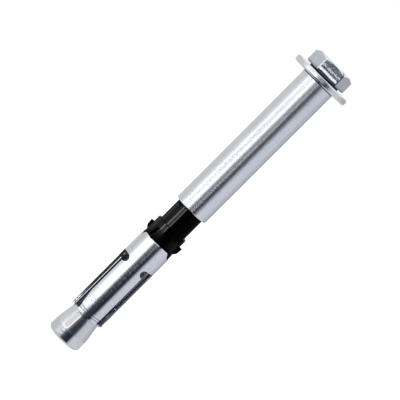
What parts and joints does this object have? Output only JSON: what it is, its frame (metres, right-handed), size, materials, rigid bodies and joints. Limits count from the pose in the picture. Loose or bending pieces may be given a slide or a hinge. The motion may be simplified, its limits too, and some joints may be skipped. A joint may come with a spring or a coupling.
{
  "type": "heavy-duty sleeve anchor with hexagon bolt",
  "caption": "Torque-set sleeve anchor: a hexagon bolt through washer, spacer, crushable plastic sleeve and slotted expansion sleeve, screwed into a cone nut.",
  "frame": {"origin": "centre of the cone's flat lower end, on the bolt's axis", "axes": "+Z along the bolt's axis from the cone to the head"},
  "size_m": [0.0206, 0.0206, 0.1186],
  "materials": {
    "zinc_plated_steel": "bright zinc plate",
    "black_plastic": "moulded, half gloss"
  },
  "bodies": {
    "base": {"cone_nut": "zinc_plated_steel", "expansion_sleeve": "zinc_plated_steel", "collapsible_sleeve": "black_plastic"},
    "spacer": {"spacer_sleeve": "zinc_plated_steel"},
    "washer": {"washer": "zinc_plated_steel"},
    "bolt": {"hex_bolt": "zinc_plated_steel"}
  },
  "joints": [
    {"name": "spacer_spin", "type": "hinge", "parent": "base", "child": "spacer", "pos_m": [0, 0, 0.0836], "axis": [0, 0, 1], "continuous": true},
    {"name": "bolt_lift", "type": "slide", "parent": "base", "child": "washer", "axis": [0, 0, 1], "range_m": [0, 0.015]},
    {"name": "bolt_turn", "type": "hinge", "parent": "washer", "child": "bolt", "pos_m": [0, 0, 0.1131], "axis": [0, 0, 1], "range_deg": [0, 4320]}
  ],
  "couplings": [
    {"joint": "bolt_turn", "follows": "bolt_lift", "rad_per_m": 5026.5}
  ]
}
